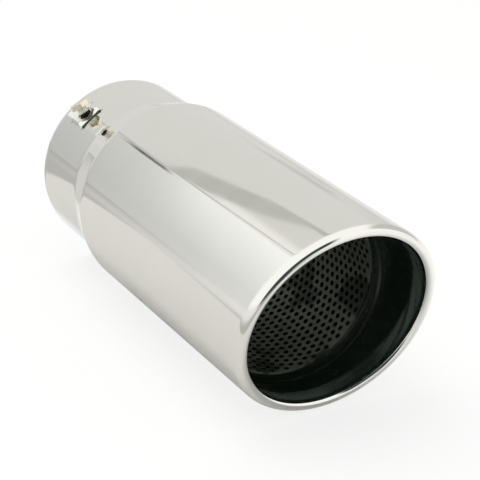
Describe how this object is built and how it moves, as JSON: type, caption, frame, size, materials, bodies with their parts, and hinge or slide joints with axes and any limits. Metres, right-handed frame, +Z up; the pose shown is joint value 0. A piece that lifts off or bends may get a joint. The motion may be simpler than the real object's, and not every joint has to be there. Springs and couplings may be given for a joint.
{
  "type": "exhaust tip",
  "caption": "Slash-cut tail pipe tip: polished round shell with a rolled lip, black inner liner, perforated inner tube and a set screw that clamps its stepped-down neck to a pipe.",
  "frame": {"origin": "centre of the neck's open end, where the tail pipe goes in", "axes": "-Y along the tip's axis, out of the mouth; +Y back towards the car's pipe; +Z up, the side where the slash-cut mouth reaches farthest; +X to the right"},
  "size_m": [0.076, 0.18, 0.076],
  "materials": {
    "polished_shell": "mirror polished stainless sheet",
    "black_liner": "gloss black",
    "perforated_sheet": "dark satin grey, perforated",
    "plated_screw": "pale yellow zinc plating"
  },
  "bodies": {
    "root": {"outer_shell": "polished_shell", "inner_liner": "black_liner", "perforated_tube": "perforated_sheet", "clamp_screw": "plated_screw"}
  },
  "joints": []
}
